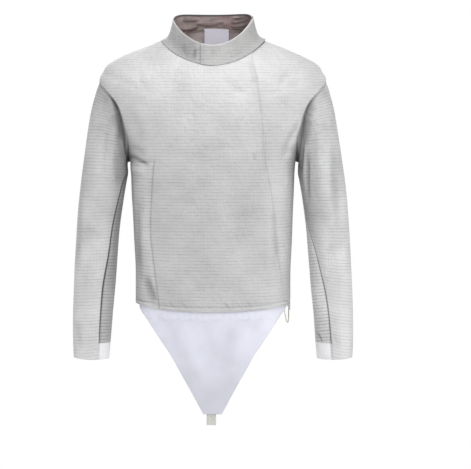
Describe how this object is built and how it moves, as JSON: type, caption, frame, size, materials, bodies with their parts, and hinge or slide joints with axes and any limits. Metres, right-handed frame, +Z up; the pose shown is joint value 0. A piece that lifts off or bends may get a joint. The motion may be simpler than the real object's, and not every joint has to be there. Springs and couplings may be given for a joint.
{
  "type": "fencing jacket",
  "caption": "Long-sleeved metallic-cloth fencing jacket with a stand collar, a side closure and a crotch strap, in its worn hollow form.",
  "frame": {"origin": "halfway between the two points where the shoulder seams meet the collar, where the wearer's shoulders carry the jacket", "axes": "+Z up along the wearer's trunk, -Y to the wearer's front, +X to the wearer's left"},
  "size_m": [0.615, 0.2464, 0.8901],
  "materials": {
    "lame": "silver-grey metallic cloth with fine cross ribs, soft sheen",
    "under_sleeve_lame": "the same metallic cloth, a shade darker",
    "lining": "matt taupe lining",
    "white_cloth": "smooth white cloth with a satin sheen",
    "label": "plain white woven tape",
    "webbing": "grey ribbed webbing",
    "cord": "matt cream cord"
  },
  "bodies": {
    "root": {"back_panel": "lame", "collar": "lame", "collar_facing": "lining", "collar_lap": "lame", "crotch_panel": "white_cloth", "crotch_tab": "webbing", "front_panel": "lame", "hem_loop": "cord", "left_cuff_patch": "white_cloth", "left_front_panel": "lame", "left_sleeve": "lame", "left_under_sleeve": "under_sleeve_lame", "neck_label": "label", "right_cuff_patch": "white_cloth", "right_side_panel": "lame", "right_sleeve": "lame", "right_under_sleeve": "under_sleeve_lame"}
  },
  "joints": []
}
